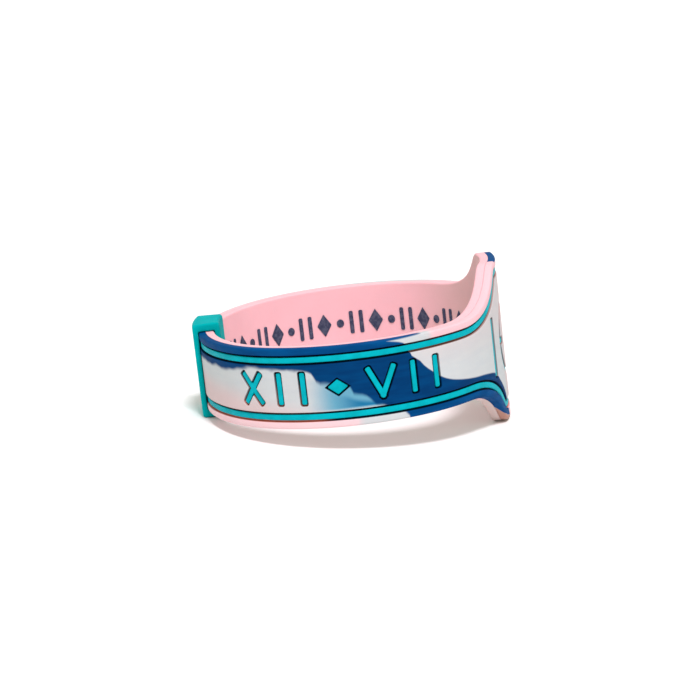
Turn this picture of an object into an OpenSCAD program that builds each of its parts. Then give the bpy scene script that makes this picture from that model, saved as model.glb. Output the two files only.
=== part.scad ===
// Silicone wristband with a widened plate and a slide-on keeper loop.
// The loop lies in plan on four arcs and stands on its lower edge: on the plate and on the keeper.
// X runs from the keeper to the plate, Y along the long way of the loop, Z up; sizes in millimetres.

/* [Loop] */
// outside size from the keeper side to the plate, without the keeper
loop_width = 62; // [60:0.1:66]
// outside size the long way, square to the plate
loop_length = 69.6; // [66:0.2:78]
// outside radius of the two tight ends of the loop
end_radius = 29.4; // [26:0.2:30]
// height of the strap
strap_height = 16; // [12:0.5:18]
// wall of the inner layer
inner_wall = 1.75; // [1.5:0.05:2.5]
// wall of the outer layer
outer_wall = 1.4; // [1.3:0.05:2]
// clearance left between pieces that lie on each other
seat_gap = 0.05; // [0.02:0.01:0.1]

/* [Plate] */
// height of the widened plate
plate_height = 32.6; // [31:0.2:36]
// length of the plate's straight top and bottom edges
plate_flat = 12.8; // [8:0.2:18]
// radius of the plate's corners
corner_radius = 4.5; // [3:0.5:6]
// radius of the sweep from the strap up to the plate
sweep_radius = 17; // [14:0.5:19]
// steepest angle of the flare
flare_angle = 45; // [40:1:47]

/* [Stripes] */
// distance of the stripe's middle from the edge
stripe_inset = 2.34; // [2:0.02:3]
// extra distance of the lower stripe from the bottom edge of the plate
foot_margin = 0.8; // [0:0.1:1.2]
// width of the groove that holds a stripe
groove_width = 1.94; // [1.4:0.02:2.4]
// depth of every groove and recess below the face
recess_depth = 0.7; // [0.4:0.05:0.9]
// width of the stripe
stripe_width = 1.14; // [0.6:0.02:1.3]
// how far the coloured fillings stay below the face
fill_below = 0.22; // [0.1:0.02:0.3]

/* [Numerals] */
// height of a numeral's recess
numeral_height = 7; // [5:0.1:8]
// width of a stroke's recess
stroke_width = 1.7; // [1.2:0.05:2]
// width of a stroke's filling
fill_width = 1.05; // [0.6:0.05:1.1]
// corner radius of a stroke's ends, as a part of its width
end_softness = 0.3; // [0.1:0.05:0.45]
// distance between neighbouring bars
bar_pitch = 5.1; // [4.2:0.1:5.4]
// length and height of the lozenge between two numerals
lozenge = [5.2, 3.8]; // [3:0.1:6]

/* [Emblem] */
// outside radius of the dial ring on the plate
dial_radius = 8.4; // [6:0.1:9]
// reach of the four ticks inwards from the ring's middle line
dial_tick = 2.2; // [1:0.1:3]
// height of the bar at each side of the dial
side_bar = 12.4; // [6:0.2:12.6]
// distance of the side bars from the plate's middle
side_bar_at = 13.2; // [11.4:0.2:13.4]

/* [Keeper] */
// length of the keeper along the strap
keeper_length = 11; // [8:0.5:14]
// wall of the keeper on the strap's two faces
keeper_wall = 1.1; // [1:0.1:2]
// wall of the keeper over the strap's two edges
keeper_end_wall = 1.55; // [1.2:0.05:2]
// play between the keeper and the strap's faces
keeper_play = 0.1; // [0.05:0.05:0.2]
// play between the keeper and the strap's edges
edge_play = 0.15; // [0.1:0.05:0.3]
// outside radius of the keeper's long edges
keeper_round = 0.7; // [0.6:0.1:1.5]
// radius in the corners of the keeper's mouth
mouth_round = 0.05; // [0.03:0.01:0.1]

/* [Inside print] */
// height of the printed row
print_height = 5; // [4:0.5:6]
// thickness of the printed marks
print_thick = 0.12; // [0.08:0.02:0.2]
// distance from one printed group to the next
print_pitch = 12.8; // [12:0.2:15]

/* [Hidden] */
$fn = 180;

half_width = loop_width / 2;
half_length = loop_length / 2;
// radius of the two flat sides, so that each runs smoothly into the tight ends
side_radius = (half_width * half_width + (half_length - end_radius) * (half_length - end_radius)
    - end_radius * end_radius) / (2 * (half_width - end_radius));
side_shift = side_radius - half_width;
end_shift = half_length - end_radius;
// half angle of a flat side, seen from its centre
side_angle = atan2(end_shift, side_shift);
wall = inner_wall + seat_gap + outer_wall;
// lengths along the outer face: half of a flat side, one tight end, half of the loop
side_run = side_radius * side_angle * PI / 180;
end_run = 2 * end_radius * (90 - side_angle) * PI / 180;
half_loop = 2 * side_run + end_run;

strap_top = strap_height / 2;
// lines and arcs that run into each other overlap by this much, so that they cross cleanly
blend = 0.004;
sweep_dip = 0.01;
plate_top = plate_height / 2;
corner_at = plate_flat / 2;
// straight length between the corner and the sweep
flare_run = (plate_top - strap_top + sweep_dip - (corner_radius + sweep_radius) * (1 - cos(flare_angle)))
    / sin(flare_angle);
sweep_at = corner_at + (corner_radius + sweep_radius) * sin(flare_angle) + flare_run * cos(flare_angle);

keeper_half = strap_top + edge_play + keeper_end_wall;
keeper_out = keeper_play + keeper_wall;
keeper_angle = keeper_length / 2 / side_radius * 180 / PI;

// the loop rests on the inner corners of the plate's lower edge and on the keeper's outer lower edge,
// whose rounding has its middle this far out and down
round_out = half_width + keeper_out - keeper_round;
round_down = keeper_half - keeper_round;
plate_foot = sqrt(pow(side_radius - wall, 2) - corner_at * corner_at) - side_shift;
foot_span = plate_foot + round_out;
foot_rise = plate_top - round_down;
rest_tilt = atan2(foot_rise, foot_span) - asin(keeper_round / norm([foot_rise, foot_span]));
rest_lift = round_down * cos(rest_tilt) + round_out * sin(rest_tilt) + keeper_round;
// moves the middle of the whole tilted loop over the origin
rest_shift = ((round_out - half_width) * cos(rest_tilt)
    + (round_down - plate_top) * sin(rest_tilt) + keeper_round) / 2;
reach = loop_length;

module at_rest() {
    translate([rest_shift, 0, rest_lift])
        rotate([0, -rest_tilt, 0])
            children();
}

// one arc of the wall, between two depths below the outer face
module arc_wall(radius, from, to, half_angle) {
    intersection() {
        difference() {
            circle(r = radius - from);
            circle(r = radius - to);
        }
        polygon([[0, 0], [reach, -reach * tan(half_angle)], [reach, reach * tan(half_angle)]]);
    }
}

// plan of the whole wall, between two depths below the outer face
module wall_plan(from, to) {
    for (side = [0, 180])
        rotate(side)
            translate([-side_shift, 0])
                arc_wall(side_radius, from, to, side_angle);
    for (side = [90, 270])
        rotate(side)
            translate([end_shift, 0])
                arc_wall(end_radius, from, to, 90 - side_angle);
}

module wall_solid(from, to, height) {
    linear_extrude(height, center = true)
        wall_plan(from, to);
}

// the plate's upper half from the side, its top lowered and its edge set in by a distance square to itself
module plate_rise(inset, lowered) {
    corner = corner_radius - inset;
    sweep = sweep_radius + inset;
    corner_z = plate_top - lowered - corner_radius;
    sweep_y = sweep_at - lowered / tan(flare_angle);
    sweep_z = strap_top - sweep_dip + sweep_radius;
    line_sweep = sweep + blend;
    line_corner = corner - blend;
    rise = [[0, 0], [sweep_y, 0], [sweep_y, strap_top - inset],
            [sweep_y - line_sweep * sin(flare_angle), sweep_z - line_sweep * cos(flare_angle)],
            [corner_at + line_corner * sin(flare_angle), corner_z + line_corner * cos(flare_angle)],
            [corner_at, corner_z + line_corner], [0, corner_z + line_corner]];
    for (turn = [0, 1])
        mirror([turn, 0])
            difference() {
                union() {
                    polygon(rise);
                    translate([corner_at, corner_z])
                        circle(r = corner);
                }
                translate([sweep_y, sweep_z])
                    circle(r = sweep);
            }
}

// everything inside the band's upper and lower edges, set in by a distance, and at the plate's foot by more
module between_edges(inset, foot = 0) {
    cube([2 * reach, 2 * reach, strap_height - 2 * inset], center = true);
    for (turn = [0, 1])
        mirror([0, 0, turn])
            translate([half_width / 3, 0, 0])
                rotate([90, 0, 90])
                    linear_extrude(reach)
                        plate_rise(inset, turn * foot);
}

// a strip that follows the edges, for the grooves and for the stripes in them
module edge_strip(width) {
    difference() {
        between_edges(stripe_inset - width / 2, foot_margin);
        between_edges(stripe_inset + width / 2, foot_margin);
    }
}

module upper_half() {
    translate([0, 0, reach / 2])
        cube([2 * reach, 2 * reach, reach], center = true);
}

// puts a flat shape square on the outer face, a distance along it from the plate's middle
module on_face(run) {
    side = run < 0 ? -1 : 1;
    far = abs(run);
    on_end = far > side_run && far < side_run + end_run;
    on_plate = far <= side_run;
    angle = on_plate ? far / side_radius * 180 / PI
        : on_end ? side_angle + (far - side_run) / end_radius * 180 / PI
        : 180 - (half_loop - far) / side_radius * 180 / PI;
    centre = on_plate ? [-side_shift, 0] : on_end ? [0, side * end_shift] : [side_shift, 0];
    translate([centre[0], centre[1], 0])
        rotate([0, 0, side * angle])
            translate([on_end ? end_radius : side_radius, 0, 0])
                rotate([90, 0, 90])
                    linear_extrude(4 * wall, center = true)
                        children();
}

// a rectangle about the middle with round corners
module soft_rectangle(size, radius) {
    square([size[0] - 2 * radius, size[1]], center = true);
    square([size[0], size[1] - 2 * radius], center = true);
    for (x = [-1, 1], y = [-1, 1])
        translate([x * (size[0] / 2 - radius), y * (size[1] / 2 - radius)])
            circle(r = radius, $fn = 48);
}

// a straight stroke with softened square ends
module stroke(from, to, width) {
    run = to - from;
    translate((from + to) / 2)
        rotate(atan2(run[1], run[0]))
            soft_rectangle([norm(run) + width, width], width * end_softness);
}

// half of the height between the middles of a stroke's round ends
bar_half = (numeral_height - stroke_width) / 2;
// half widths between stroke middles of the wide numerals
ten_half = 2;
five_half = 2.5;

module bar(width) {
    stroke([0, -bar_half], [0, bar_half], width);
}

module ten(width) {
    stroke([-ten_half, -bar_half], [ten_half, bar_half], width);
    stroke([-ten_half, bar_half], [ten_half, -bar_half], width);
}

module five(width) {
    stroke([-five_half, bar_half], [0, -bar_half], width);
    stroke([five_half, bar_half], [0, -bar_half], width);
}

// a lozenge given by its full length and height
module lozenge_shape(size) {
    polygon([[size[0] / 2, 0], [0, size[1] / 2], [-size[0] / 2, 0], [0, -size[1] / 2]]);
}

// the lozenge, or its filling with the same margin all round as a stroke's
module middle_lozenge(width) {
    margin = (stroke_width - width) / 2;
    slope = norm(lozenge) / (lozenge[0] * lozenge[1]);
    lozenge_shape(lozenge * (1 - 2 * margin * slope));
}

// middle of the numerals, half way between the plate and the keeper
row_middle = 54.2;
// from the lozenge's middle to the nearest stroke of the numeral on its left and right
row_space = [7, 8.7];
wide_space = 6.6;

// twelve, lozenge, seven, read from the keeper to the plate
module front_row(width) {
    on_face(-row_middle) middle_lozenge(width);
    left = -row_middle - row_space[0];
    on_face(left) bar(width);
    on_face(left - bar_pitch) bar(width);
    on_face(left - bar_pitch - wide_space) ten(width);
    right = -row_middle + row_space[1];
    on_face(right) five(width);
    on_face(right + wide_space) bar(width);
    on_face(right + wide_space + bar_pitch) bar(width);
}

// nine, lozenge, three, read from the plate to the keeper
module back_row(width) {
    on_face(row_middle) middle_lozenge(width);
    left = row_middle - row_space[1];
    on_face(left) ten(width);
    on_face(left - wide_space) bar(width);
    right = row_middle + row_space[0];
    for (step = [0, 1, 2])
        on_face(right + step * bar_pitch) bar(width);
}

// dial ring with four ticks and a lozenge, between two bars
module emblem_row(width) {
    ring_middle = dial_radius - stroke_width / 2;
    side_half = (side_bar - stroke_width) / 2;
    on_face(0) {
        difference() {
            circle(r = ring_middle + width / 2);
            circle(r = ring_middle - width / 2);
        }
        for (turn = [0, 90, 180, 270])
            rotate(turn)
                translate([ring_middle - dial_tick - width / 2, -width / 2])
                    square([dial_tick + width / 2, width]);
        middle_lozenge(width);
    }
    for (side = [-1, 1])
        on_face(side * side_bar_at)
            stroke([0, -side_half], [0, side_half], width);
}

// what a shape takes out of the outer layer, down to the depth of the recesses
module sunk() {
    intersection() {
        wall_solid(-1, recess_depth, plate_height + 2);
        children();
    }
}

// a coloured filling on the floor of a groove or recess
module filling() {
    intersection() {
        wall_solid(fill_below, recess_depth - seat_gap, plate_height + 2);
        children();
    }
}

module inner_layer() {
    color("pink")
        at_rest()
            intersection() {
                wall_solid(outer_wall + seat_gap, wall, plate_height + 2);
                between_edges(0);
            }
}

module outer_layer() {
    color("steelblue")
        at_rest()
            difference() {
                intersection() {
                    wall_solid(0, outer_wall, plate_height + 2);
                    between_edges(0);
                }
                sunk() edge_strip(groove_width);
                sunk() front_row(stroke_width);
                sunk() back_row(stroke_width);
                sunk() emblem_row(stroke_width);
            }
}

module upper_stripe() {
    color("turquoise")
        at_rest()
            filling()
                intersection() {
                    edge_strip(stripe_width);
                    upper_half();
                }
}

module lower_stripe() {
    color("turquoise")
        at_rest()
            filling()
                difference() {
                    edge_strip(stripe_width);
                    upper_half();
                }
}

module front_numerals() {
    color("turquoise")
        at_rest()
            filling()
                front_row(fill_width);
}

module back_numerals() {
    color("turquoise")
        at_rest()
            filling()
                back_row(fill_width);
}

module plate_emblem() {
    color("turquoise")
        at_rest()
            filling()
                emblem_row(fill_width);
}

// groups of printed marks on one side of the loop, between the plate and the keeper
print_groups = 6;
print_start = 21.2;
print_stroke = 1;

// lozenge, two bars and a dot, one group of the printed row
module print_group(run) {
    bar_end = (print_height - print_stroke) / 2;
    on_face(run) lozenge_shape([3.6, print_height]);
    on_face(run + 3.6)
        stroke([0, -bar_end], [0, bar_end], print_stroke);
    on_face(run + 6)
        stroke([0, -bar_end], [0, bar_end], print_stroke);
    on_face(run + 8.8)
        circle(d = 1.8, $fn = 48);
}

module inside_print() {
    color("slategray")
        at_rest()
            intersection() {
                wall_solid(wall + seat_gap, wall + seat_gap + print_thick, strap_height);
                for (side = [-1, 1])
                    for (step = [0 : print_groups - 1])
                        print_group(side * (print_start + step * print_pitch) - (side < 0 ? 8.8 : 0));
            }
}

// the keeper cut across, round the strap's wall
module keeper_section() {
    translate([side_radius - wall / 2, 0])
        difference() {
            soft_rectangle([wall + 2 * keeper_out, 2 * keeper_half], keeper_round);
            soft_rectangle([wall + 2 * keeper_play, strap_height + 2 * edge_play], mouth_round);
        }
}

module keeper() {
    color("darkturquoise")
        at_rest()
            translate([side_shift, 0, 0])
                rotate([0, 0, 180 - keeper_angle])
                    rotate_extrude(angle = 2 * keeper_angle)
                        keeper_section();
}

inner_layer();
outer_layer();
upper_stripe();
lower_stripe();
front_numerals();
back_numerals();
plate_emblem();
inside_print();
keeper();
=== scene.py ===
import bpy
import numpy as np
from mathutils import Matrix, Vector


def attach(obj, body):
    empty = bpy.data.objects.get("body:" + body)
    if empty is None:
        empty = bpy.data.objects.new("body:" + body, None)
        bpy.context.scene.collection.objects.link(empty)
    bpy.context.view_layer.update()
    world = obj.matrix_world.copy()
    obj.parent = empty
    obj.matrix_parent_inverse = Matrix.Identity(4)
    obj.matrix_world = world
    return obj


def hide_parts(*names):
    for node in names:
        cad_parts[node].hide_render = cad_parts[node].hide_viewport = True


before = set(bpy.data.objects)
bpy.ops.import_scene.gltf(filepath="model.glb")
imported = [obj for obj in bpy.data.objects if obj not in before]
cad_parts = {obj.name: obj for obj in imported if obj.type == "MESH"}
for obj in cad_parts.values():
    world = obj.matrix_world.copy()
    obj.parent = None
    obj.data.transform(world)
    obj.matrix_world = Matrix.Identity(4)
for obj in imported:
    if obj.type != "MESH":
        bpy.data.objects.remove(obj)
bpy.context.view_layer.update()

# Inner layer.
# The inner half of the loop, moulded first in pale pink silicone. The outer half is moulded on to it, so
# the two meet in a fine parting line on the upper and lower edges, which are softly rounded.

# Sizes are in millimetres, which MM turns into metres.
MM = 0.001
half_width, half_length, end_radius = 31.0, 34.8, 29.4
inner_wall, outer_wall, seat_gap = 1.75, 1.4, 0.05
wall = inner_wall + seat_gap + outer_wall
strap_top = 8.0
plate_top, corner_at, corner_radius = 16.3, 6.4, 4.5
sweep_radius, flare_angle = 17.0, np.radians(45)
# How the loop lies: turned about Y, and moved along X and up.
rest_tilt, rest_shift, rest_lift = np.radians(6.40786), 0.19108, 13.15934

end_shift = half_length - end_radius
side_radius = (half_width**2 + end_shift**2 - end_radius**2) / (2 * (half_width - end_radius))
side_shift = side_radius - half_width
side_angle = np.arctan2(end_shift, side_shift)
side_run = side_radius * side_angle
end_run = 2 * end_radius * (np.pi / 2 - side_angle)
half_loop = 2 * side_run + end_run


def plan(run, depth):
    """Plan of the loop in millimetres. Run is the length along the outer face from the middle of the
    plate, depth goes inwards square to it. The angle grows with the run on four arcs in turn: a flat
    one through the plate, a tight one at each end, and a flat one through the keeper."""
    far = np.abs(run)
    on_end = (far > side_run) & (far < side_run + end_run)
    on_keeper = far >= side_run + end_run
    angle = np.where(on_end, side_angle + (far - side_run) / end_radius, far / side_radius)
    angle = np.where(on_keeper, np.pi - (half_loop - far) / side_radius, angle)
    radius = np.where(on_end, end_radius, side_radius) - depth
    middle = np.where(on_end, 0.0, np.where(on_keeper, side_shift, -side_shift))
    x = middle + radius * np.cos(angle)
    y = np.sign(run) * (np.where(on_end, end_shift, 0.0) + radius * np.sin(angle))
    return x, y


def at_rest(x, y, z):
    """The loop's own frame turned about Y by the resting tilt and lifted, as points in metres."""
    x_rest = x * np.cos(rest_tilt) - z * np.sin(rest_tilt) + rest_shift
    z_rest = z * np.cos(rest_tilt) + x * np.sin(rest_tilt) + rest_lift
    return np.stack(np.broadcast_arrays(x_rest, y, z_rest), axis=-1) * MM


def on_wall(run, depth, rise):
    """Point of the loop at a run, a depth below the outer face and a height above mid-strap."""
    x, y = plan(run, depth)
    return at_rest(x, y, rise)


def edge_rise(run, depth, inset, lowered=0.0):
    """Height of the band's edge above mid-strap, set in by a distance square to itself. It is level on
    the strap; at the plate, whose top may be lowered, it is a flat top, a corner arc, a straight flare
    and a sweep arc, in turn away from the plate's middle."""
    x, y = plan(run, depth)
    top = plate_top - lowered
    away = np.abs(y)
    corner, sweep = corner_radius - inset, sweep_radius + inset
    sine, cosine = np.sin(flare_angle), np.cos(flare_angle)
    straight = (top - strap_top - (corner_radius + sweep_radius) * (1 - cosine)) / sine
    sweep_at = corner_at + (corner_radius + sweep_radius) * sine + straight * cosine
    corner_end, sweep_start = corner_at + corner * sine, sweep_at - sweep * sine
    arc = top - corner_radius + np.sqrt(np.maximum(corner**2 - (away - corner_at) ** 2, 0))
    flare = top - corner_radius + corner * cosine - (away - corner_end) * np.tan(flare_angle)
    dip = strap_top + sweep_radius - np.sqrt(np.maximum(sweep**2 - (sweep_at - away) ** 2, 0))
    rise = np.where(away <= corner_at, top - inset, arc)
    rise = np.where(away > corner_end, flare, rise)
    rise = np.where(away > sweep_start, dip, rise)
    level = (away > sweep_at) | (x < 0)
    return np.where(level, strap_top - inset, rise)


def spaced(stops, steps):
    """Positions from stop to stop, even between each pair and about that pair's step apart."""
    parts = [np.linspace(a, b, max(1, round((b - a) / step)), endpoint=False)
             for a, b, step in zip(stops, stops[1:], steps)]
    return np.concatenate(parts)


def arc_rows(depth, inset, radius, start, stop, steps):
    """Rows of (depth, inset) in a cross-section, at even angles on an arc about a middle. At 0 degrees
    the arc faces outwards, at 90 it faces the band's edge and at 180 it faces the wrist."""
    turn = np.radians(np.linspace(start, stop, steps + 1))
    return [(depth - radius * np.cos(t), inset - radius * np.sin(t)) for t in turn]


def ring_quads(rows, columns):
    """Quads of a grid of points that closes on itself along the rows and along the columns."""
    i, j = np.meshgrid(np.arange(rows), np.arange(columns), indexing="ij")
    below, above = i * columns, (i + 1) % rows * columns
    right = (j + 1) % columns
    return np.stack([below + j, below + right, above + right, above + j], axis=-1).reshape(-1, 4)


def make_piece(name, points, quads, material, nodes, attributes=None):
    """A smooth-shaded mesh object from arrays of points in metres and of quads. It rides on the one body
    and stands for the nodes. The attributes are vectors, one for each point, that its material reads."""
    mesh = bpy.data.meshes.new(name)
    mesh.from_pydata(points.reshape(-1, 3).tolist(), [], quads.tolist())
    mesh.polygons.foreach_set("use_smooth", np.ones(len(quads), bool))
    for key, values in (attributes or {}).items():
        layer = mesh.attributes.new(key, "FLOAT_VECTOR", "POINT")
        layer.data.foreach_set("vector", np.ascontiguousarray(values, np.float32).ravel())
    mesh.materials.append(material)
    mesh.validate()
    mesh.update()
    piece = bpy.data.objects.new(name, mesh)
    bpy.context.scene.collection.objects.link(piece)
    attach(piece, "root")
    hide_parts(*nodes)


class Nodes:
    """Shorthand for building a node tree: each call adds a node and gives one of its outputs."""

    def __init__(self, tree):
        self.tree = tree

    def add(self, kind, inputs=None, output=0, **settings):
        """A node of any kind. An input is linked if it is given a socket, and set if a value."""
        node = self.tree.nodes.new("ShaderNode" + kind)
        for key, value in settings.items():
            setattr(node, key, value)
        for key, value in (inputs or {}).items():
            if isinstance(value, bpy.types.NodeSocket):
                self.tree.links.new(value, node.inputs[key])
            else:
                node.inputs[key].default_value = value
        return node.outputs[output]

    def math(self, operation, first, second=0.0, third=0.0, clamp=False):
        """A sum, product or the like of two or three numbers."""
        return self.add("Math", {0: first, 1: second, 2: third}, operation=operation, use_clamp=clamp)

    def mix(self, share, first, second):
        """The first colour where the share is 0, the second where it is 1."""
        return self.add("Mix", {0: share, 6: first, 7: second}, output=2, data_type="RGBA")

    def ramp(self, value, low, high):
        """0 below low, 1 above high and a smooth rise between."""
        return self.add("MapRange", {0: value, 1: low, 2: high}, interpolation_type="SMOOTHSTEP")

    def noise(self, place, scale, detail=2.0):
        """Soft noise about 0.5, whose blobs are about 1 / scale wide in the units of the place."""
        return self.add("TexNoise", {0: place, "Scale": scale, "Detail": detail})


def shade_group():
    """Moulded silicone's surface: a fine peel from the mould, a faint change of tone over a few
    millimetres, and patches that are a little smoother from handling."""
    group = bpy.data.node_groups.new("moulded silicone skin", "ShaderNodeTree")
    sockets = group.interface
    sockets.new_socket("Colour", in_out="INPUT", socket_type="NodeSocketColor")
    sockets.new_socket("Peel", in_out="INPUT", socket_type="NodeSocketFloat")
    sockets.new_socket("Roughness", in_out="INPUT", socket_type="NodeSocketFloat")
    sockets.new_socket("Colour", in_out="OUTPUT", socket_type="NodeSocketColor")
    sockets.new_socket("Roughness", in_out="OUTPUT", socket_type="NodeSocketFloat")
    sockets.new_socket("Normal", in_out="OUTPUT", socket_type="NodeSocketVector")
    n = Nodes(group)
    given = group.nodes.new("NodeGroupInput")
    place = n.add("TexCoord", output=3)
    cloud = n.noise(place, 160.0, 3.0)
    fleck = n.noise(place, 2600.0, 1.0)
    tone = n.math("MULTIPLY_ADD", cloud, 0.10, 0.95)
    tone = n.math("MULTIPLY_ADD", fleck, 0.04, n.math("SUBTRACT", tone, 0.02))
    colour = n.add("VectorMath", {0: given.outputs["Colour"], 3: tone}, operation="SCALE")
    handled = n.math("MULTIPLY_ADD", n.noise(place, 300.0, 2.0), 0.16, -0.08)
    rough = n.math("ADD", given.outputs["Roughness"], handled, clamp=True)
    peel = n.noise(place, 3200.0, 2.0)
    bump = n.add("Bump", {"Strength": given.outputs["Peel"], "Distance": 0.00002, "Height": peel})
    result = group.nodes.new("NodeGroupOutput")
    for key, value in (("Colour", colour), ("Roughness", rough), ("Normal", bump)):
        group.links.new(value, result.inputs[key])
    return group


silicone_skin = shade_group()


def silicone(name, peel, rough, scatter, gloss=0.04):
    """A silicone material, with a Nodes for its tree and the skin group whose Colour is still open. Peel
    is the strength of the mould's texture, rough the mean roughness, scatter the share of light that
    goes in under the surface, and gloss the strength of its reflection."""
    material = bpy.data.materials.new(name)
    material.use_nodes = True
    tree = material.node_tree
    shader = tree.nodes["Principled BSDF"]
    skin = tree.nodes.new("ShaderNodeGroup")
    skin.node_tree = silicone_skin
    skin.inputs["Peel"].default_value = peel
    skin.inputs["Roughness"].default_value = rough
    tree.links.new(skin.outputs["Colour"], shader.inputs["Base Color"])
    tree.links.new(skin.outputs["Roughness"], shader.inputs["Roughness"])
    tree.links.new(skin.outputs["Normal"], shader.inputs["Normal"])
    shader.inputs["IOR"].default_value = 1.42
    shader.inputs["Specular IOR Level"].default_value = gloss
    shader.inputs["Subsurface Weight"].default_value = scatter
    shader.inputs["Subsurface Radius"].default_value = (1.0, 0.5, 0.4)
    shader.inputs["Subsurface Scale"].default_value = 0.0006
    return material, Nodes(tree), skin


pink_material, n, skin = silicone("pale pink silicone", 0.35, 0.56, 0.12)
place = n.add("Attribute", output=1, attribute_name="band_place")
parts = n.add("SeparateXYZ", {0: place}).node
at_run, at_rise, at_depth = parts.outputs

# The pink is painted a little deeper on the plate's inside, as shade where that face turns away from
# the lamp, and duller along the plate's foot, which lies below the strap's lower edge, as painted shade.
face = n.ramp(at_depth, wall - 0.05, wall)
inside = n.math("MULTIPLY", face, n.ramp(n.math("ABSOLUTE", at_run), 42, 18))
foot_edge_shade = n.math("MULTIPLY", n.math("SUBTRACT", 1.0, face), n.ramp(at_rise, -8.1, -10.0))
pink = n.mix(inside, (0.83, 0.455, 0.50, 1), (0.69, 0.43, 0.435, 1))
pink = n.mix(foot_edge_shade, pink, (0.62, 0.475, 0.455, 1))
n.tree.links.new(pink, skin.inputs["Colour"])

# The upper half of a cross-section and its mirror image, carried round the loop. The columns are closer
# together about the plate, where the edge curves.
inner_face = outer_wall + seat_gap
inner_edge_round = 0.45
parting_round = 0.04
upper_rows = (arc_rows(inner_face + parting_round, parting_round, parting_round, 0, 90, 3)
              + arc_rows(wall - inner_edge_round, inner_edge_round, inner_edge_round, 90, 180, 7))
rows = np.array(upper_rows + upper_rows[::-1])
share = np.repeat([1.0, -1.0], len(upper_rows))[:, None]
columns = spaced([-half_loop, -27, 27, half_loop], [1.0, 0.4, 1.0])
depth, inset = rows[:, :1], rows[:, 1:]
rise = share * edge_rise(columns, depth, inset)
points = on_wall(columns, depth, rise)
band_place = np.stack(np.broadcast_arrays(columns, rise, depth), axis=-1)
make_piece("pink_inner_layer", points, ring_quads(len(rows), len(columns)), pink_material,
           ["inner_layer"], {"band_place": band_place})

# Outer layer.
# The outer half, moulded from deep blue, white and pale pink silicone that are stirred only a little, so
# they run together in broad flames. Two grooves follow its edges and the marks are sunk between them.
stripe_inset, groove_width, recess_depth = 2.34, 1.94, 0.7
# At the plate's foot the lower groove lies this much further from the edge.
foot_margin = 0.8
groove_lip, groove_fillet, edge_round = 0.1, 0.1, 0.4
stroke_width, end_softness = 1.7, 0.3
numeral_height, ten_half, five_half = 7.0, 2.0, 2.5
bar_half = (numeral_height - stroke_width) / 2
lozenge_size = np.array([5.2, 3.8])
bar_pitch, wide_space = 5.1, 6.6
row_middle, row_space = 54.2, (7.0, 8.7)
dial_radius, dial_tick = 8.4, 2.2
dial_middle = dial_radius - stroke_width / 2
side_bar_at, side_bar_height = 13.2, 12.4
side_half = (side_bar_height - stroke_width) / 2


def stroke_distance(run, rise, start, stop, width):
    """Distance to a straight stroke with softened square ends: that to a rectangle about the stroke,
    shrunk by the corner radius, less the radius."""
    start, stop = np.array(start), np.array(stop)
    along = stop - start
    length = np.hypot(*along)
    along = along / length
    middle = (start + stop) / 2
    across = np.array([-along[1], along[0]])
    u = (run - middle[0]) * along[0] + (rise - middle[1]) * along[1]
    v = (run - middle[0]) * across[0] + (rise - middle[1]) * across[1]
    radius = width * end_softness
    du = np.abs(u) - (length + width) / 2 + radius
    dv = np.abs(v) - width / 2 + radius
    outside = np.hypot(np.maximum(du, 0), np.maximum(dv, 0))
    return outside + np.minimum(np.maximum(du, dv), 0) - radius


def bar_distance(run, rise, width):
    """Distance to a numeral's upright bar."""
    return stroke_distance(run, rise, (0, -bar_half), (0, bar_half), width)


def ten_distance(run, rise, width):
    """Distance to the nearer of the two crossed strokes of a ten."""
    falling = stroke_distance(run, rise, (-ten_half, bar_half), (ten_half, -bar_half), width)
    rising = stroke_distance(run, rise, (-ten_half, -bar_half), (ten_half, bar_half), width)
    return np.minimum(falling, rising)


def five_distance(run, rise, width):
    """Distance to the nearer of the two strokes of a five, which meet at its foot."""
    left = stroke_distance(run, rise, (-five_half, bar_half), (0, -bar_half), width)
    right = stroke_distance(run, rise, (five_half, bar_half), (0, -bar_half), width)
    return np.minimum(left, right)


def lozenge_distance(run, rise, width, size=lozenge_size):
    """Distance to the nearest of a lozenge's four sides, with the same margin as the strokes have."""
    across, up = size / 2
    slant = np.hypot(across, up)
    side = (np.abs(run) * up + np.abs(rise) * across - across * up) / slant
    return side + (stroke_width - width) / 2


def dial_distance(run, rise, width):
    """Distance to the dial: a ring, four ticks that run in from it, and the lozenge in its middle."""
    flat = side_radius * np.sin(run / side_radius)
    ring = np.abs(np.hypot(flat, rise) - dial_middle) - width / 2
    middle = dial_middle - (dial_tick + width / 2) / 2
    reach = (dial_tick + width / 2) / 2
    near, off = np.maximum(np.abs(flat), np.abs(rise)), np.minimum(np.abs(flat), np.abs(rise))
    tick = np.maximum(np.abs(near - middle) - reach, off - width / 2)
    return np.minimum(np.minimum(ring, tick), lozenge_distance(flat, rise, width))


def side_bar_distance(run, rise, width):
    """Distance to the long upright bar on either side of the dial."""
    return stroke_distance(run, rise, (0, -side_half), (0, side_half), width)


# Each row of marks is the run of each mark's middle and its distance: twelve and seven about a lozenge on
# the near side, nine and three on the far side, and the dial between two bars on the plate.
front_left, front_right = -row_middle - row_space[0], -row_middle + row_space[1]
front_marks = [(-row_middle, lozenge_distance), (front_left, bar_distance),
               (front_left - bar_pitch, bar_distance),
               (front_left - bar_pitch - wide_space, ten_distance), (front_right, five_distance),
               (front_right + wide_space, bar_distance),
               (front_right + wide_space + bar_pitch, bar_distance)]
back_left, back_right = row_middle - row_space[1], row_middle + row_space[0]
back_marks = [(row_middle, lozenge_distance), (back_left, ten_distance),
              (back_left - wide_space, bar_distance), (back_right, bar_distance),
              (back_right + bar_pitch, bar_distance), (back_right + 2 * bar_pitch, bar_distance)]
plate_marks = [(0.0, dial_distance), (-side_bar_at, side_bar_distance),
               (side_bar_at, side_bar_distance)]


def marks_distance(run, rise, marks, width):
    """Distance to the nearest of several marks, each given by its middle's run and its own distance."""
    return np.min([shape(run - at, rise, width) for at, shape in marks], axis=0)


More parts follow.
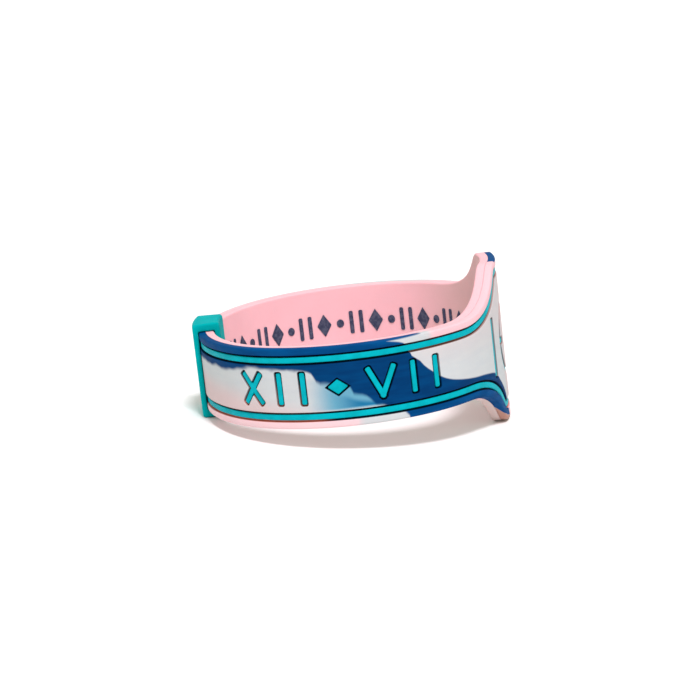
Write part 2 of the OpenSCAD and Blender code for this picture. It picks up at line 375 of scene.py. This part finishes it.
def slope_of(distance, run, rise):
    """Direction in which a distance grows fastest, from its differences over a small step."""
    step = 0.01
    along = distance(run + step, rise) - distance(run - step, rise)
    up = distance(run, rise + step) - distance(run, rise - step)
    size = np.maximum(np.hypot(along, up), 1e-9)
    return along / size, up / size


def drawn_to(distance, run, rise, target):
    """Points moved square to an outline until they lie at the target distance from it."""
    off = target - distance(run, rise)
    along, up = slope_of(distance, run, rise)
    return run + off * along, rise + off * up


def rim_edges(quads):
    """Directed edges of a set of quads that no other quad of the set shares."""
    start, stop = quads.ravel(), np.roll(quads, -1, axis=1).ravel()
    size = quads.max() + 1
    lonely = ~np.isin(start * size + stop, stop * size + start)
    return start[lonely], stop[lonely]


def wall_strip(start, stop, rings):
    """Quads down a wall. Each ring maps a grid point to its own copy; the strip joins ring to ring."""
    return np.concatenate([np.stack([upper[start], upper[stop], lower[stop], lower[start]], axis=1)
                           for upper, lower in zip(rings, rings[1:])])


# The cross-section's upper half goes from the panel down through the groove, over the rim and to the
# parting line. The panel between the two grooves is a plain grid, whose rows and columns are close
# together where marks are cut from it.
groove_out, groove_in = stripe_inset - groove_width / 2, stripe_inset + groove_width / 2
panel_inset = groove_in + groove_lip
floor_top = recess_depth - groove_fillet
groove_rows = (arc_rows(groove_lip, panel_inset, groove_lip, 0, 90, 3)
               + [(floor_top + groove_fillet * np.sin(t), groove_in - groove_fillet * (1 - np.cos(t)))
                  for t in np.radians([0, 45, 90])]
               + [(floor_top + groove_fillet * np.sin(t), groove_out + groove_fillet * (1 - np.cos(t)))
                  for t in np.radians([90, 45, 0])]
               + arc_rows(groove_lip, groove_out - groove_lip, groove_lip, -90, 0, 3))
rim_rows = (arc_rows(edge_round, edge_round, edge_round, 0, 90, 6)
            + arc_rows(outer_wall - parting_round, parting_round, parting_round, 90, 180, 2))
upper_rows = groove_rows + rim_rows
panel_share = np.concatenate([[-1.0, -0.925], np.linspace(-0.85, 0.85, 63), [0.925, 1.0]])
middle_rows = [(0.0, panel_inset)] * (len(panel_share) - 2)
rows = np.array(middle_rows + upper_rows + upper_rows[::-1])
share = np.concatenate([panel_share[1:-1], np.ones(len(upper_rows)), -np.ones(len(upper_rows))])[:, None]
columns = spaced([-half_loop, -76.3, -32.1, -14.8, 14.8, 37.2, 72.7, half_loop],
                 [0.9, 0.2, 0.8, 0.25, 0.8, 0.2, 0.9])
depth = np.broadcast_to(rows[:, :1], (len(rows), len(columns))).copy()
inset = np.broadcast_to(rows[:, 1:], depth.shape)
run = np.broadcast_to(columns, depth.shape).copy()
lowered = np.where((share < 0) & (inset >= groove_out - groove_lip), foot_margin, 0.0)
rise = share * edge_rise(run, depth, inset, lowered)
quads = ring_quads(len(rows), len(columns))


def every_mark(run, rise):
    """Distance to the nearest of all the sunk marks."""
    return marks_distance(run, rise, front_marks + back_marks + plate_marks, stroke_width)


# The cells of the panel whose middles lie inside a mark become the floors of the recesses. The points on
# the rim of each hole are drawn to the mark's outline, and those next to it a little further off.
mark_lip, mark_fillet, next_off = 0.09, 0.1, 1.7
run, rise, depth, inset = run.ravel(), rise.ravel(), depth.ravel(), inset.ravel()
flat_quad = (depth[quads] == 0).all(axis=1)
centre_run, centre_rise = run[quads].mean(axis=1), rise[quads].mean(axis=1)
wraps = np.ptp(run[quads], axis=1) > half_loop
sunk_quad = flat_quad & ~wraps & (every_mark(centre_run, centre_rise) < 0)
face_quads, floor_quads = quads[~sunk_quad], quads[sunk_quad]
in_floor = np.zeros(len(run), bool)
in_floor[floor_quads] = True
in_face = np.zeros(len(run), bool)
in_face[face_quads] = True
rim = np.flatnonzero(in_floor & in_face)
off_outline = every_mark(run, rise)
near_face = in_face & ~in_floor & (depth == 0) & (np.abs(off_outline) < next_off * mark_lip)
near_floor = np.flatnonzero(in_floor & ~in_face & (off_outline > -next_off * mark_fillet))
rim_run, rim_rise = run[rim], rise[rim]
run[near_face], rise[near_face] = drawn_to(every_mark, run[near_face], rise[near_face],
                                           next_off * mark_lip)
floor_points = np.flatnonzero(in_floor)
floor_run, floor_rise = run[floor_points].copy(), rise[floor_points].copy()
shallow = np.isin(floor_points, near_floor)
floor_run[shallow], floor_rise[shallow] = drawn_to(every_mark, floor_run[shallow], floor_rise[shallow],
                                                   -next_off * mark_fillet)
rim_floor = np.isin(floor_points, rim)
floor_run[rim_floor], floor_rise[rim_floor] = drawn_to(every_mark, rim_run, rim_rise, -mark_fillet)
run[rim], rise[rim] = drawn_to(every_mark, rim_run, rim_rise, mark_lip)

# Rings of new points lead from each rim down to its floor: a quarter round for the lip, a straight wall
# and a fillet. Each ring is a distance from the outline and a depth.
turn = np.radians([30, 60, 90])
fillet_foot = 0.3 * mark_fillet
wall_rings = [(mark_lip * (1 - np.sin(t)), mark_lip * (1 - np.cos(t))) for t in turn]
wall_rings += [(0.0, recess_depth - mark_fillet), (-fillet_foot, recess_depth - fillet_foot)]
all_run, all_rise, all_depth, all_inset = [run], [rise], [depth], [inset]
count = len(run)
ring_maps = [np.arange(count)]
for offset, level in wall_rings:
    ring_run, ring_rise = drawn_to(every_mark, rim_run, rim_rise, offset)
    ring_map = np.zeros(len(run), int)
    ring_map[rim] = count + np.arange(len(rim))
    ring_maps.append(ring_map)
    all_run.append(ring_run)
    all_rise.append(ring_rise)
    all_depth.append(np.full(len(rim), level))
    all_inset.append(inset[rim])
    count += len(rim)
floor_map = np.zeros(len(run), int)
floor_map[floor_points] = count + np.arange(len(floor_points))
ring_maps.append(floor_map)
all_run.append(floor_run)
all_rise.append(floor_rise)
all_depth.append(np.full(len(floor_points), recess_depth))
all_inset.append(inset[floor_points])
start, stop = rim_edges(floor_quads)
quads = np.concatenate([face_quads, floor_map[floor_quads], wall_strip(start, stop, ring_maps)])
all_run, all_rise = np.concatenate(all_run), np.concatenate(all_rise)
all_depth, all_inset = np.concatenate(all_depth), np.concatenate(all_inset)

# What the material reads: how far a point is sunk in a groove or recess, from 0 at 0.02 mm deep to 1 at
# 0.16, which is how much painted shade it takes, how far down it is on the rim, and how much its wall
# hangs over, from 0 below a stroke to 1 above, which makes that painted shade darker.
in_relief = all_inset > groove_out - groove_lip
recess_shade_share = np.clip(all_depth / 0.14 - 0.15, 0, 1) * in_relief
across_groove = np.sign(all_rise) * (stripe_inset - all_inset) / (groove_width / 2)
along, up = slope_of(every_mark, all_run, all_rise)
overhang_shade = np.where(all_inset < panel_inset, across_groove, 0.9 * up + 0.4 * along)
overhang_shade = np.clip(0.5 + 0.9 * overhang_shade, 0, 1)
points = on_wall(all_run, all_depth, all_rise)
used = np.unique(quads)
renumber = np.zeros(len(points), int)
renumber[used] = np.arange(len(used))
band_place = np.stack([all_run, all_rise, all_inset], axis=1)[used]
rim_depth = np.where(all_inset < groove_out - groove_lip, all_depth, 0)
band_shade_and_rim = np.stack([recess_shade_share, rim_depth, overhang_shade], axis=1)[used]

marbled_material, n, skin = silicone("marbled silicone", 0.3, 0.55, 0.05)


def boundary(run, stops):
    """Height of a marbling boundary over the run: a smooth curve through the given stops of (run,
    height). The curve's own square spans the loop one way and 40 mm of height the other."""
    run_span, height_span = 208.0, 40.0
    node = n.tree.nodes.new("ShaderNodeFloatCurve")
    curve = node.mapping.curves[0]
    marks = [(at / run_span + 0.5, height / height_span + 0.5) for at, height in stops]
    curve.points[0].location = marks[0]
    curve.points[1].location = marks[-1]
    for mark in marks[1:-1]:
        curve.points.new(*mark)
    for point in curve.points:
        point.handle_type = "AUTO_CLAMPED"
    node.mapping.extend = "HORIZONTAL"
    node.mapping.update()
    n.tree.links.new(n.math("MULTIPLY_ADD", run, 1 / run_span, 0.5), node.inputs["Value"])
    return n.math("MULTIPLY_ADD", node.outputs[0], height_span, -height_span / 2)


place = n.add("Attribute", output=1, attribute_name="band_place")
parts = n.add("SeparateXYZ", {0: place}).node
at_run, at_rise, at_inset = parts.outputs
# The painted shade's share, the rim's depth, and the overhang that darkens the painted shade.
sunk = n.add("SeparateXYZ", {0: n.add("Attribute", output=1, attribute_name="band_shade_and_rim")}).node
sunk, rim_depth, overhang_shade = sunk.outputs

# The boundaries sway and waver a little, as stirred colours do.
object_place = n.add("TexCoord", output=3)
sway = n.math("MULTIPLY_ADD", n.noise(object_place, 170.0, 1.0), 0.8, -0.4)
waver = n.math("MULTIPLY_ADD", n.noise(object_place, 420.0, 0.0), 1.0, -0.5)
marble_rise = n.math("ADD", at_rise, n.math("MULTIPLY", sway, 0.3))
marble_run = n.math("ADD", at_run, sway)

# On the near side blue lies above this line and white below it.
left_top = boundary(marble_run, [(-104, 3.5), (-93, 3.5), (-84.3, 3.3), (-80, 3.4), (-76.6, 3.75),
                                 (-74.4, 4.0), (-71, 4.3), (-68.8, 4.2), (-67.6, 3.8), (-66, 3.75),
                                 (-64.1, 4.0), (-62.7, 3.5), (-61.2, 3.6), (-59.9, 3.3), (-59.1, 2.5),
                                 (-58.6, 1.4), (-57.8, 0.85), (-55.6, 0.95), (-53.8, 0.6),
                                 (-52.1, -0.2), (-51.6, -1.0), (-51.2, -1.7), (-50.2, -1.9),
                                 (-49.3, -2.1), (-48.2, -2.8), (-47.2, -3.9), (-44.6, -4.95),
                                 (-42.5, -5.6), (-41.0, -7.0), (-40.0, -9), (-38.5, -16), (104, -20)])
# From the plate's near shoulder round to the far side white lies above this line and blue below it,
right_low = boundary(at_run, [(-104, 20), (-46, 20), (-44.5, 8), (-43.2, 7.6), (-41.6, 7.25),
                              (-40.5, 6.85), (-39.8, 6.3), (-39.35, 5.6), (-39.0, 4.05), (-37.4, 2.8),
                              (-36.3, 1.4), (-35.1, 0.4), (-33.3, -1.0), (-30.6, -2.3), (-27.5, -3.05),
                              (-23.5, -3.65), (-18.4, -4.15), (-14, -5.0), (-11.6, -6.8), (-8, -10),
                              (-3, -17), (5, -19), (12, -13), (18, -7.5), (26, -3), (33, 1),
                              (38, 4.2), (42, 5.2), (45, 4.6), (48, 1.8), (53, -1.8), (60, -3.8),
                              (68, -5.3), (76, -4.4), (84, -6.2), (89, -9), (95, -13), (104, -17)])
# apart from what lies above this one: a sliver along the near edge and a patch on the plate's top.
right_top = boundary(at_run, [(-104, -20), (-46, -20), (-44.5, 7.5), (-41, 7.72), (-38.6, 7.82),
                              (-36.5, 8.0), (-35.5, 9.5), (-34, 20), (-7.4, 20), (-6.2, 16.3),
                              (-5.0, 16.0), (0, 15.9), (5, 15.9), (7, 16.2), (8, 20), (104, 20)])
# Below this one the plate's near foot is pink, painted dark as shade near the table.
foot_line = boundary(n.math("MULTIPLY_ADD", rim_depth, 1.5, at_run),
                     [(-104, -20), (-13, -18), (-11.9, -15), (-10.6, -14.35), (-8, -15.1),
                      (-6, -15.55), (-4, -15.9), (-2, -16.4), (0, -17.5), (104, -20)])
left_gap = n.math("SUBTRACT", n.math("SUBTRACT", left_top, marble_rise), waver)
right_gap = n.math("MINIMUM", n.math("SUBTRACT", at_rise, right_low),
                   n.math("SUBTRACT", right_top, at_rise))
right_gap = n.math("MULTIPLY_ADD", n.math("MULTIPLY", waver, n.ramp(at_run, -20, 30)), 0.8, right_gap)
foot_gap = n.math("SUBTRACT", foot_line, n.math("MULTIPLY_ADD", rim_depth, -1.6, at_rise))
foot = n.ramp(foot_gap, -0.12, 0.12)
light = n.math("MAXIMUM", n.ramp(left_gap, -0.5, 0.5), n.ramp(right_gap, -0.18, 0.18))
light = n.math("MAXIMUM", light, foot)

# Below the near line, beside the lozenge, the white is hazed with blue, and a blue wisp runs through it.
streak_place = n.add("CombineXYZ", {0: n.math("MULTIPLY", marble_run, 0.16), 1: marble_rise})
streaks = n.ramp(n.noise(streak_place, 0.8, 2.0), 0.3, 0.7)
beside = n.math("MULTIPLY", n.ramp(at_run, -40.0, -42.0), n.ramp(marble_rise, 2.5, 1.0))
haze = n.math("MULTIPLY", n.ramp(marble_run, -61.5, -54.5), n.ramp(at_rise, -4.8, -4.15))
haze = n.math("MULTIPLY", n.math("MULTIPLY", haze, beside), 0.77)
wisp_top = boundary(marble_run, [(-104, -2), (-60, -0.6), (-57, -1.0), (-55.1, -1.4), (-53.1, -1.8),
                                 (-50.9, -2.7), (-48.8, -3.2), (-46.5, -3.5), (104, -3.5)])
wisp = n.math("MULTIPLY", n.ramp(n.math("SUBTRACT", wisp_top, marble_rise), -0.5, 0.7),
              n.ramp(at_rise, -4.45, -4.0))
wisp = n.math("MULTIPLY", wisp, n.ramp(marble_run, -56.0, -49.5))
wisp = n.math("MULTIPLY", n.math("MULTIPLY", wisp, beside), 0.9)

# White turns pale pink towards the keeper and the far side, on the plate's middle and along the edges.
pink_height = boundary(marble_run, [(-104, 2), (-92, 0.5), (-80, -0.6), (-70, -2.4), (-60, -4.5),
                                    (-54, -6), (-51.5, -6.8), (-49, -9), (-44, -14), (60, -14),
                                    (72, -3), (90, 0), (104, 2)])
face_pink = n.ramp(n.math("SUBTRACT", pink_height, marble_rise), -2.0, 3.0)
flush = n.math("MULTIPLY", n.ramp(n.math("ADD", at_rise, sway), -1.0, 6.0), n.ramp(at_run, -42, -34))
middle = n.math("MULTIPLY", n.ramp(marble_run, -8.0, -3.0), n.ramp(marble_run, 16.0, 6.0))
flush = n.math("MAXIMUM", n.math("MULTIPLY", flush, 0.35), middle)
face_pink = n.math("MAXIMUM", face_pink, flush)
top_margin = boundary(at_run, [(-104, 0), (-35.5, 0), (-33.0, 10), (-8, 10), (22, 10), (30, 8),
                               (38, 0), (50, 0), (58, 10), (96, 10), (104, 0)])
low_margin = boundary(at_run, [(-104, 10), (-51.9, 10), (-49.3, 0), (-14, 0), (-12, 10), (12, 10),
                               (18, 0), (72, 0), (80, 10), (104, 10)])
in_margin = n.math("LESS_THAN", at_inset, stripe_inset)
upper_side = n.math("GREATER_THAN", at_rise, 0.0)
margin_pink = n.add("Mix", {0: upper_side, 2: low_margin, 3: top_margin})
margin_pink = n.math("MULTIPLY", margin_pink, 0.1, clamp=True)
white = n.mix(streaks, (0.512, 0.522, 0.546, 1), (0.536, 0.542, 0.556, 1))
margin_blush = n.mix(upper_side, (0.80, 0.53, 0.565, 1), (0.81, 0.475, 0.52, 1))
blush = n.mix(in_margin, (0.65, 0.46, 0.465, 1), margin_blush)
# The foot's dark salmon is painted shade over its pink.
blush = n.mix(foot, blush, (0.45, 0.236, 0.192, 1))
pinkness = n.add("Mix", {0: in_margin, 2: n.math("MULTIPLY", face_pink, 0.8), 3: margin_pink})
pale = n.mix(pinkness, white, blush)
pale = n.mix(haze, pale, (0.0, 0.262, 0.42, 1))
pale = n.mix(wisp, pale, (0.0, 0.13, 0.285, 1))
deep_face = n.mix(streaks, (0.0, 0.031, 0.119, 1), (0.0, 0.044, 0.154, 1))
deep_margin = n.mix(streaks, (0.0, 0.045, 0.162, 1), (0.0, 0.063, 0.211, 1))
deep = n.mix(in_margin, deep_face, deep_margin)
marble = n.mix(light, deep, pale)

# In the grooves and recesses the colour is painted shade. The walls take the blue under a wider strip
# of the face, painted as the navy shade there, and every wall is multiplied by a painted shade: near
# black on the walls that hang over and warm brown on those that face up.
below = n.math("MULTIPLY", n.ramp(left_gap, 1.5, 5.0), n.ramp(at_run, -55.0, -59.0))
below = n.math("MAXIMUM", below, n.math("MAXIMUM", n.ramp(right_gap, -0.18, 0.18), foot))
warm_wall_shade = n.mix(pinkness, (0.38, 0.18, 0.13, 1), (0.72, 0.25, 0.15, 1))
wall_shade_tint = n.mix(overhang_shade, warm_wall_shade, (0.08, 0.09, 0.11, 1))
shaded = n.add("Mix", {0: 1.0, 6: n.mix(below, deep, pale), 7: wall_shade_tint}, output=2, data_type="RGBA",
               blend_type="MULTIPLY")
# Points sunk in grooves and recesses take the painted shade.
n.tree.links.new(n.mix(sunk, marble, shaded), skin.inputs["Colour"])

make_piece("marbled_outer_layer", points[used], renumber[quads], marbled_material,
           ["outer_layer"], {"band_place": band_place, "band_shade_and_rim": band_shade_and_rim})

# Stripes.
# Teal silicone paint run into the two grooves that follow the band's edges. It stands a little below
# the face, with soft shoulders and a narrow gap of bare groove on each side.
stripe_width, fill_below, shoulder = 1.14, 0.22, 0.14
teal_material, n, skin = silicone("teal filling", 0.5, 0.42, 0.05)
object_place = n.add("TexCoord", output=3)
flow = n.ramp(n.noise(object_place, 420.0, 3.0), 0.3, 0.7)
n.tree.links.new(n.mix(flow, (0.0, 0.335, 0.395, 1), (0.0, 0.395, 0.47, 1)), skin.inputs["Colour"])

stripe_out, stripe_in = stripe_inset - stripe_width / 2, stripe_inset + stripe_width / 2
seat = recess_depth - seat_gap
section = (arc_rows(fill_below + shoulder, stripe_in - shoulder, shoulder, -90, 0, 4)
           + arc_rows(fill_below + shoulder, stripe_out + shoulder, shoulder, 0, 90, 4)
           + [(seat, stripe_out), (seat, stripe_in)])
rows = np.array(section)
columns = spaced([-half_loop, -27, 27, half_loop], [0.8, 0.3, 0.8])
depth, inset = rows[:, :1], rows[:, 1:]
for name, node, direction in (("upper_teal_stripe", "upper_stripe", 1),
                              ("lower_teal_stripe", "lower_stripe", -1)):
    rise = direction * edge_rise(columns, depth, inset, foot_margin if direction < 0 else 0.0)
    quads = ring_quads(len(rows), len(columns))[:, ::direction]
    make_piece(name, on_wall(columns, depth, rise), quads, teal_material, [node])

# Numerals and plate emblem.
# The same paint in the sunk numerals of the two sides and in the dial on the plate, wiped level so that
# each stroke keeps a soft shoulder and a thin dark gap round it.
fill_width = 1.05


def inlay(distance, low, high, step, top, bottom, shoulder):
    """A flat shape laid into the wall, as points and quads. The cells of a grid whose middles lie inside
    the outline make its top; the top's rim is drawn to the outline less the shoulder, a quarter round
    leads out to the outline, a straight side goes down, and the same cells close the bottom."""
    next_off = 1.6 * shoulder
    u = np.linspace(low[0], high[0], round((high[0] - low[0]) / step) + 1)
    v = np.linspace(low[1], high[1], round((high[1] - low[1]) / step) + 1)
    i, j = np.meshgrid(np.arange(len(v) - 1), np.arange(len(u) - 1), indexing="ij")
    first = i * len(u) + j
    cells = np.stack([first, first + 1, first + 1 + len(u), first + len(u)], axis=-1).reshape(-1, 4)
    grid_run, grid_rise = (a.ravel() for a in np.meshgrid(u, v))
    centre = distance(grid_run[cells].mean(axis=1), grid_rise[cells].mean(axis=1))
    cells = cells[centre < -shoulder / 2]
    start, stop = rim_edges(cells)
    rim = np.unique(start)
    inner = np.setdiff1d(np.unique(cells), rim)
    inner = inner[distance(grid_run[inner], grid_rise[inner]) > -next_off]
    grid_run[inner], grid_rise[inner] = drawn_to(distance, grid_run[inner], grid_rise[inner], -next_off)
    down = 1 if bottom > top else -1
    turn = np.radians([0, 30, 60, 90])
    rings = [(-shoulder * (1 - np.sin(t)), top + down * shoulder * (1 - np.cos(t))) for t in turn]
    rings.append((0.0, bottom))
    runs, rises, depths, maps = [], [], [], []
    for level, (offset, depth) in enumerate(rings):
        whole = level in (0, len(rings) - 1)
        members = np.arange(len(grid_run)) if whole else rim
        layer_run, layer_rise = grid_run.copy(), grid_rise.copy()
        layer_run[rim], layer_rise[rim] = drawn_to(distance, grid_run[rim], grid_rise[rim], offset)
        layer_run, layer_rise = layer_run[members], layer_rise[members]
        layer_map = np.zeros(len(grid_run), int)
        layer_map[members] = np.arange(len(members)) + sum(len(r) for r in runs)
        maps.append(layer_map)
        runs.append(layer_run)
        rises.append(layer_rise)
        depths.append(np.full(len(layer_run), depth))
    quads = np.concatenate([maps[0][cells], wall_strip(stop, start, maps), maps[-1][cells[:, ::-1]]])
    if down < 0:
        quads = quads[:, ::-1]
    used = np.unique(quads)
    renumber = np.zeros(quads.max() + 1, int)
    renumber[used] = np.arange(len(used))
    place = np.stack([np.concatenate(runs), np.concatenate(depths), np.concatenate(rises)], axis=1)
    return place[used], renumber[quads]


def joined(shapes):
    """Several shapes' places and quads as one."""
    offsets = np.cumsum([0] + [len(place) for place, _ in shapes[:-1]])
    places = np.concatenate([place for place, _ in shapes])
    return places, np.concatenate([quads + offset for (_, quads), offset in zip(shapes, offsets)])


def filled_marks(marks, width, step, reach):
    """Fillings of several sunk marks, each on a grid about its own middle that reaches so far each way
    in steps of one size."""
    shapes = []
    for at, shape in marks:
        place, quads = inlay(lambda u, v: shape(u, v, width), (-reach[0], -reach[1]), reach, step,
                             fill_below, seat, shoulder)
        shapes.append((place + (at, 0, 0), quads))
    return joined(shapes)


for name, node, marks, reach, step in (
        ("teal_front_numerals", "front_numerals", front_marks, (3.8, 3.8), 0.15),
        ("teal_back_numerals", "back_numerals", back_marks, (3.8, 3.8), 0.15),
        ("teal_plate_emblem", "plate_emblem", plate_marks, (8.6, 8.6), 0.2)):
    place, quads = filled_marks(marks, fill_width, step, reach)
    points = on_wall(place[:, 0], place[:, 1], place[:, 2])
    make_piece(name, points, quads, teal_material, [node])

# Inside print.
# A row of slate marks printed round the inside in silicone ink: a lozenge, two bars and a dot, over and
# over. The ink lies as a thin film on the pink wall.
print_height, print_thick, print_pitch = 5.0, 0.12, 12.8
print_groups, print_start, print_stroke = 6, 21.2, 1.0
dot_radius, print_lozenge_width, group_length = 0.9, 3.6, 8.8
print_reach, print_step, film_round = 2.6, 0.2, 0.05
ink_material, n, skin = silicone("slate ink", 0.8, 0.6, 0.0)
object_place = n.add("TexCoord", output=3)
worn = n.ramp(n.noise(object_place, 1500.0, 4.0), 0.35, 0.7)
n.tree.links.new(n.mix(worn, (0.04, 0.045, 0.085, 1), (0.085, 0.09, 0.14, 1)), skin.inputs["Colour"])


def print_bar(run, rise):
    """Distance to a printed upright bar."""
    half = (print_height - print_stroke) / 2
    return stroke_distance(run, rise, (0, -half), (0, half), print_stroke)


def print_dot(run, rise):
    """Distance to a printed dot: that to its middle, less its radius."""
    return np.hypot(run, rise) - dot_radius


def print_lozenge(run, rise):
    """Distance to a printed lozenge as high as the bars."""
    return lozenge_distance(run, rise, stroke_width, np.array([print_lozenge_width, print_height]))


# The groups follow each other both ways from beside the plate, and read the same way round.
group_marks = [(0.0, print_lozenge), (3.6, print_bar), (6.0, print_bar), (group_length, print_dot)]
shapes = []
film_top, film_bottom = wall + seat_gap + print_thick, wall + seat_gap
for direction in (-1, 1):
    for step in range(print_groups):
        group_at = direction * (print_start + step * print_pitch)
        group_at -= group_length if direction < 0 else 0
        for offset, shape in group_marks:
            place, quads = inlay(shape, (-print_reach, -print_reach), (print_reach, print_reach),
                                 print_step, film_top, film_bottom, film_round)
            shapes.append((place + (group_at + offset, 0, 0), quads))
place, quads = joined(shapes)
make_piece("slate_inside_print", on_wall(place[:, 0], place[:, 1], place[:, 2]), quads,
           ink_material, ["inside_print"])

# Keeper.
# A short loop of solid teal silicone, moulded on its own and pushed over the strap opposite the plate.
# It is a hollow box with softly rounded edges inside and out.
keeper_length, keeper_round, mouth_round = 11.0, 0.7, 0.25
keeper_wall, keeper_end_wall = 1.095, 1.55
face_play, edge_play = 0.1, 0.15
outer_soft, mouth_soft = 0.4, 0.3
mouth_half_wall, mouth_half_height = wall / 2 + face_play, strap_top + edge_play
keeper_material, n, skin = silicone("teal silicone", 0.45, 0.5, 0.12, gloss=0.012)
object_place = n.add("TexCoord", output=3)
cloudy = n.ramp(n.noise(object_place, 240.0, 3.0), 0.25, 0.75)
n.tree.links.new(n.mix(cloudy, (0.0, 0.315, 0.33, 1), (0.0, 0.37, 0.385, 1)), skin.inputs["Colour"])


def box_path(half_across, half_up, radius, corner_steps, side_steps):
    """A rectangle with round corners as a closed path of (across, up): a quarter round at each corner
    and even steps along each side."""
    path = []
    corners = [(1, 1, 0), (-1, 1, 90), (-1, -1, 180), (1, -1, 270)]
    for across, up, start in corners:
        turn = np.radians(start + np.linspace(0, 90, corner_steps + 1))
        middle = np.array([across * (half_across - radius), up * (half_up - radius)])
        path.append(middle + radius * np.stack([np.cos(turn), np.sin(turn)], axis=1))
    whole = []
    for arc, following, steps in zip(path, path[1:] + path[:1], side_steps):
        whole.append(arc)
        between = np.linspace(0, 1, steps + 1)[1:-1, None]
        whole.append(arc[-1] + between * (following[0] - arc[-1]))
    return np.concatenate(whole)


corner_steps, side_steps = 8, (4, 12, 4, 12)
outside = box_path(mouth_half_wall + keeper_wall, mouth_half_height + keeper_end_wall, keeper_round,
                   corner_steps, side_steps)
mouth = box_path(mouth_half_wall, mouth_half_height, mouth_round, corner_steps, side_steps)
thickness = np.hypot(*(outside - mouth).T)[:, None]
outwards = (outside - mouth) / thickness

# Lengthwise the wall's outline goes along the outside, round one end, back along the mouth and round the
# other end. Each row has its place along the keeper, and its level below the outside or above the mouth.
half_long = keeper_length / 2
turn = np.radians([0, 22.5, 45, 67.5, 90])
soft_out = [(outer_soft * (1 - np.cos(t)), half_long - outer_soft * (1 - np.sin(t))) for t in turn]
soft_in = [(mouth_soft * (1 - np.cos(t)), half_long - mouth_soft * (1 - np.sin(t))) for t in turn]
straight = np.linspace(-1, 1, 11)[1:-1]
from_outside = ([(0.0, s * (half_long - outer_soft)) for s in straight] + soft_out)
from_mouth = (soft_in[::-1] + [(0.0, -s * (half_long - mouth_soft)) for s in straight]
              + [(q, -b) for q, b in soft_in])
closing = [(q, -b) for q, b in soft_out[::-1]]
below_outside = np.array(from_outside + [(np.nan, b) for _, b in from_mouth] + closing)
above_mouth = np.array([(np.nan, 0.0)] * len(from_outside) + from_mouth + [(np.nan, 0.0)] * len(closing))
level = np.where(np.isnan(below_outside[:, 0]), thickness - above_mouth[:, 0], below_outside[:, 0])
along = np.broadcast_to(below_outside[:, 1], level.shape)
across = outside[:, :1] - outwards[:, :1] * level
up = outside[:, 1:] - outwards[:, 1:] * level
keeper_depth = wall / 2 - across
keeper_run = np.where(along >= 0, half_loop - along, -half_loop - along)
points = on_wall(keeper_run, keeper_depth, up)
make_piece("teal_keeper", points, ring_quads(*level.shape), keeper_material, ["keeper"])

# Floor, light and camera.
# A plain white table under soft light all round and a lamp high in front, seen from the side of the
# loop and a little above it.
floor_mesh = bpy.data.meshes.new("floor")
reach = 6.0
corners = [(-reach, -reach, 0), (reach, -reach, 0), (reach, reach, 0), (-reach, reach, 0)]
floor_mesh.from_pydata(corners, [], [(0, 1, 2, 3)])
floor = bpy.data.objects.new("floor", floor_mesh)
bpy.context.scene.collection.objects.link(floor)
floor_material = bpy.data.materials.new("white table")
floor_material.use_nodes = True
table_top = floor_material.node_tree.nodes["Principled BSDF"]
table_top.inputs["Base Color"].default_value = (0.90, 0.895, 0.89, 1)
table_top.inputs["Roughness"].default_value = 0.6
floor_mesh.materials.append(floor_material)

world = bpy.data.worlds.new("studio")
bpy.context.scene.world = world
world.use_nodes = True
world.node_tree.nodes["Background"].inputs["Color"].default_value = (0.925, 0.995, 0.91, 1)
world.node_tree.nodes["Background"].inputs["Strength"].default_value = 0.75

lamp_rise, lamp_turn = np.radians(59), np.radians(10)
lamp = bpy.data.lights.new("soft lamp", "SUN")
lamp.energy = 2.6
lamp.angle = np.radians(11)
lamp.color = (1.0, 0.94, 1.0)
lamp_object = bpy.data.objects.new("soft lamp", lamp)
towards = Vector((np.sin(lamp_turn) * np.cos(lamp_rise), -np.cos(lamp_turn) * np.cos(lamp_rise),
                  np.sin(lamp_rise)))
lamp_object.rotation_euler = towards.to_track_quat("Z", "Y").to_euler()
bpy.context.scene.collection.objects.link(lamp_object)

# The camera looks at the middle of the loop, from this far above, round and away in metres.
elevation, azimuth, distance = np.radians(11.384), np.radians(1.019), 0.5092
back = Vector((np.sin(azimuth) * np.cos(elevation), -np.cos(azimuth) * np.cos(elevation),
               np.sin(elevation)))
camera_data = bpy.data.cameras.new("camera")
camera_data.lens = 127.12
camera_data.sensor_width = 36
camera_data.clip_start = 0.01
camera_data.clip_end = 50
camera_data.shift_x = -0.00403
camera_data.shift_y = 0.00027
camera = bpy.data.objects.new("camera", camera_data)
camera.location = Vector((rest_shift, 0, rest_lift)) * MM + back * distance
camera.rotation_euler = (-back).to_track_quat("-Z", "Y").to_euler()
bpy.context.scene.collection.objects.link(camera)
bpy.context.scene.camera = camera
bpy.context.scene.view_settings.view_transform = "Standard"
